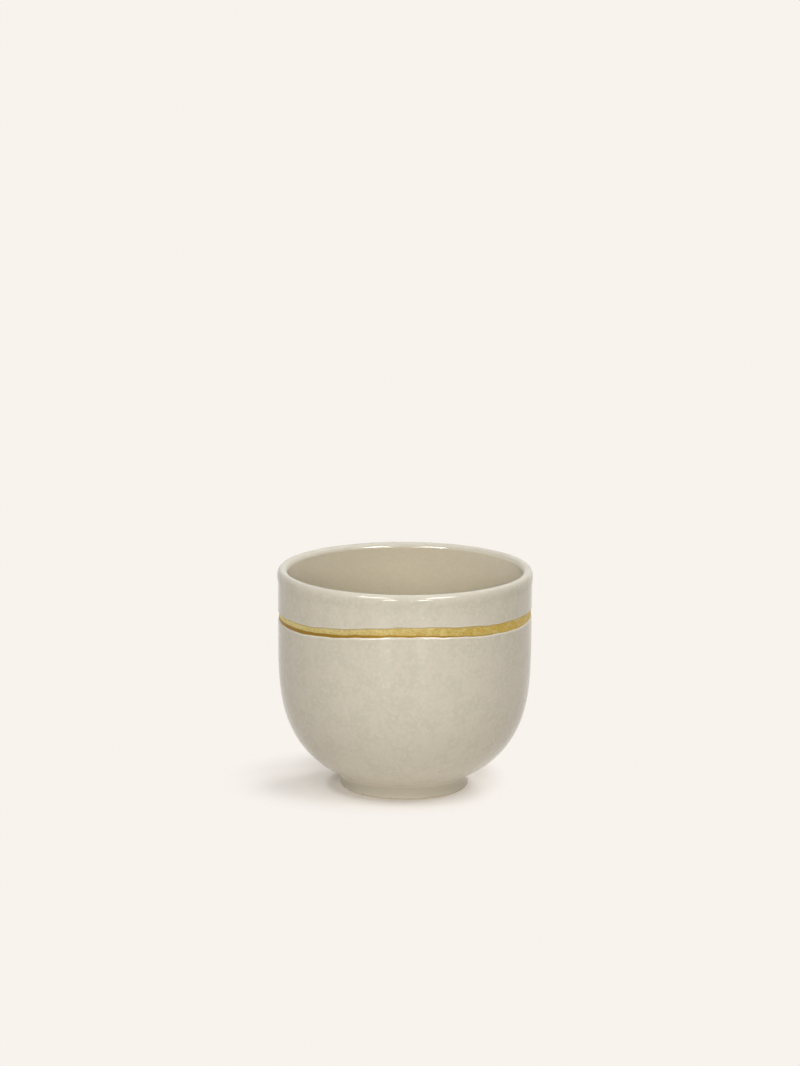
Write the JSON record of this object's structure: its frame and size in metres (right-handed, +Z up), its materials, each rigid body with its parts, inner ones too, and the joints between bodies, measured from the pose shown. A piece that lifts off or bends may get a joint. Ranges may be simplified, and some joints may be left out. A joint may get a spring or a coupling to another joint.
{
  "type": "arabic coffee cup",
  "caption": "Handleless glazed stoneware cup for Arabic coffee, with a round lip, a gold band below it, a full bowl and a low foot ring.",
  "frame": {"origin": "on the table, at the middle of the foot ring", "axes": "+Z up along the cup's axis out of its mouth, +X to the right of the side that the picture shows, -Y towards the viewer"},
  "size_m": [0.06, 0.06, 0.0522],
  "materials": {
    "stoneware_clay": "matte",
    "stoneware_glaze": "gloss",
    "gold_lustre": "satin"
  },
  "bodies": {
    "root": {"clay_bowl": "stoneware_clay", "foot_ring": "stoneware_clay", "liner_glaze": "stoneware_glaze", "body_glaze": "stoneware_glaze", "base_glaze": "stoneware_glaze", "gold_band": "gold_lustre"}
  },
  "joints": []
}
